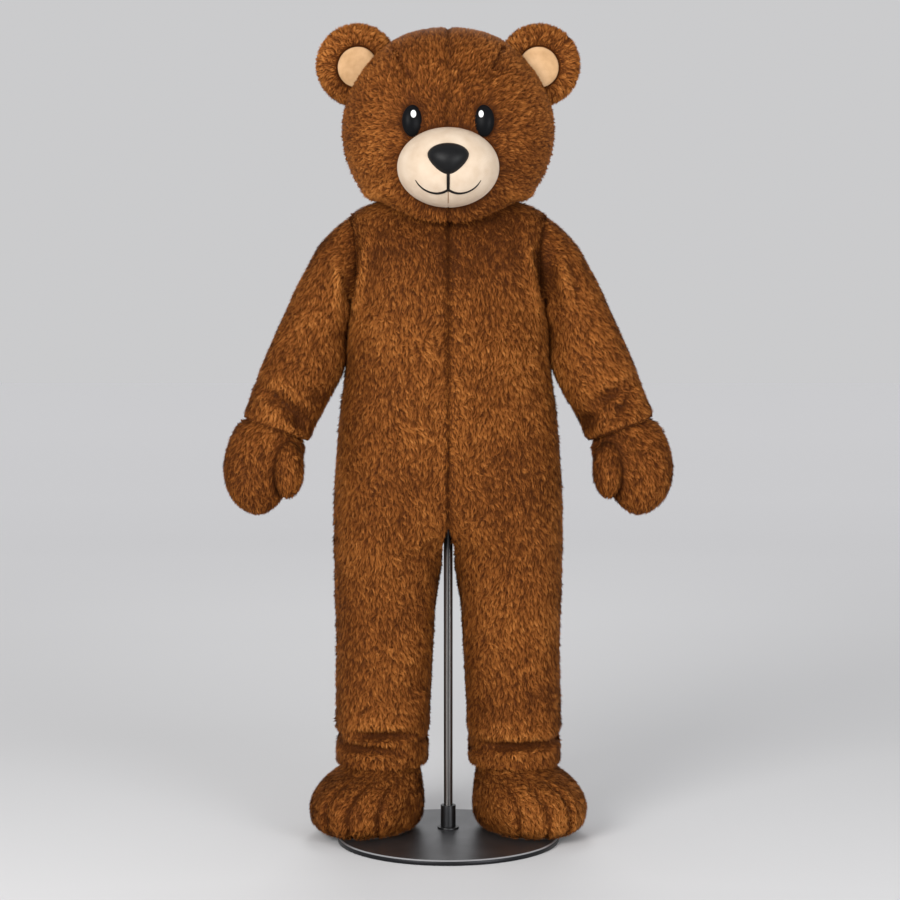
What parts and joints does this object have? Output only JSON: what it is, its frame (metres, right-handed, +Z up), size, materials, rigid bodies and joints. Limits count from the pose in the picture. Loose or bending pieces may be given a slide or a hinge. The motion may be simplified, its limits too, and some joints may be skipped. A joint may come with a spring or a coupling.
{
  "type": "bear mascot costume on display stand",
  "caption": "Hollow brown plush bear suit with head, mittens and boots, held upright as worn by a steel pole stand with a round base plate.",
  "frame": {"origin": "middle of the base plate's underside", "axes": "+Z up; the bear faces -Y; +X is the wearer's left"},
  "size_m": [1.0554, 0.541, 1.906],
  "materials": {
    "brown_plush": "long brown pile on a knitted backing",
    "muzzle_fleece": "short cream fleece",
    "ear_fleece": "short tan fleece",
    "black_gloss": "gloss black eye with a printed white highlight",
    "nose_black": "satin black",
    "sole": "matt black sole",
    "zip_tape": "closed brown zip tape",
    "gunmetal": "dark satin steel"
  },
  "bodies": {
    "root": {"boot_left": "brown_plush", "boot_right": "brown_plush", "boot_sole_left": "sole", "boot_sole_right": "sole", "ear_left": "brown_plush", "ear_pad_left": "ear_fleece", "ear_pad_right": "ear_fleece", "ear_right": "brown_plush", "eye_left": "black_gloss", "eye_right": "black_gloss", "head_back_left": "brown_plush", "head_back_right": "brown_plush", "head_front_left": "brown_plush", "head_front_right": "brown_plush", "mitten_back_left": "brown_plush", "mitten_back_right": "brown_plush", "mitten_palm_left": "brown_plush", "mitten_palm_right": "brown_plush", "mitten_thumb_left": "brown_plush", "mitten_thumb_right": "brown_plush", "muzzle_left": "muzzle_fleece", "muzzle_right": "muzzle_fleece", "nose": "nose_black", "sleeve_left": "brown_plush", "sleeve_right": "brown_plush", "stand_base": "gunmetal", "stand_collar": "gunmetal", "stand_head_rest": "gunmetal", "stand_pole": "gunmetal", "stand_yoke": "gunmetal", "suit_back_left": "brown_plush", "suit_back_right": "brown_plush", "suit_front_left": "brown_plush", "suit_front_right": "brown_plush", "suit_zip": "zip_tape"}
  },
  "joints": []
}
